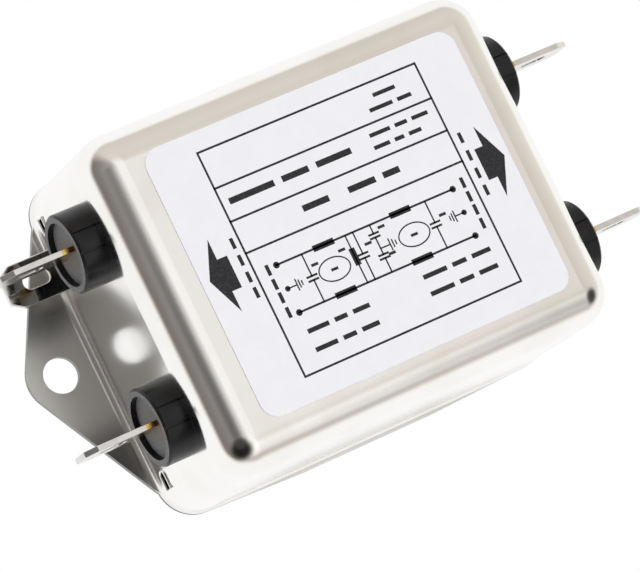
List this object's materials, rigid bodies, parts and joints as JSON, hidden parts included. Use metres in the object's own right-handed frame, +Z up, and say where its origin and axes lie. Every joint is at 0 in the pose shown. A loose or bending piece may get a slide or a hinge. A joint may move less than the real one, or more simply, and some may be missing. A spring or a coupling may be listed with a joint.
{
  "type": "emi line filter",
  "caption": "Chassis-mount mains line filter: drawn metal can with round edges and two flat mounting ears, fast-on blades in black round bushings at each end and an earth tab.",
  "frame": {"origin": "centre of the underside of the ears and the bottom cover, midway between the two mounting holes", "axes": "+X from the line end, which has the earth tab, to the load end; +Z up from the mounting surface; +Y towards the side the earth tab is on"},
  "size_m": [0.0922, 0.052, 0.0286],
  "materials": {
    "can_steel": "bright nickel-plated sheet, smooth, soft reflections",
    "plate_steel": "plated sheet, satin",
    "label_film": "white printed film, semi-gloss",
    "bushing_plastic": "black moulded plastic, satin",
    "blade_metal": "tin-plated brass, bright, bare brass at the root",
    "earth_metal": "tin-plated brass, bright",
    "sheet_board": "fish paper, matt",
    "board": "glass-epoxy board, green mask",
    "ferrite": "dark sintered ferrite, matt",
    "copper_wire": "enamelled copper wire, glossy",
    "box_case": "moulded box, semi-gloss",
    "disc_coat": "dipped epoxy coat, glossy",
    "resistor_body": "lacquered body, satin"
  },
  "bodies": {
    "root": {"can": "can_steel", "base_plate": "plate_steel", "label": "label_film", "bushing_line_pos": "bushing_plastic", "bushing_line_neg": "bushing_plastic", "bushing_load_pos": "bushing_plastic", "bushing_load_neg": "bushing_plastic", "blade_line_pos": "blade_metal", "blade_line_neg": "blade_metal", "blade_load_pos": "blade_metal", "blade_load_neg": "blade_metal", "earth_tab": "earth_metal", "insulating_sheet": "sheet_board", "circuit_board": "board", "core_line": "ferrite", "core_load": "ferrite", "winding_line_pos": "copper_wire", "winding_line_neg": "copper_wire", "winding_load_pos": "copper_wire", "winding_load_neg": "copper_wire", "box_cap_line": "box_case", "box_cap_mid": "box_case", "box_cap_load": "box_case", "disc_cap_pos": "disc_coat", "disc_cap_neg": "disc_coat", "bleed_resistor": "resistor_body"}
  },
  "joints": []
}
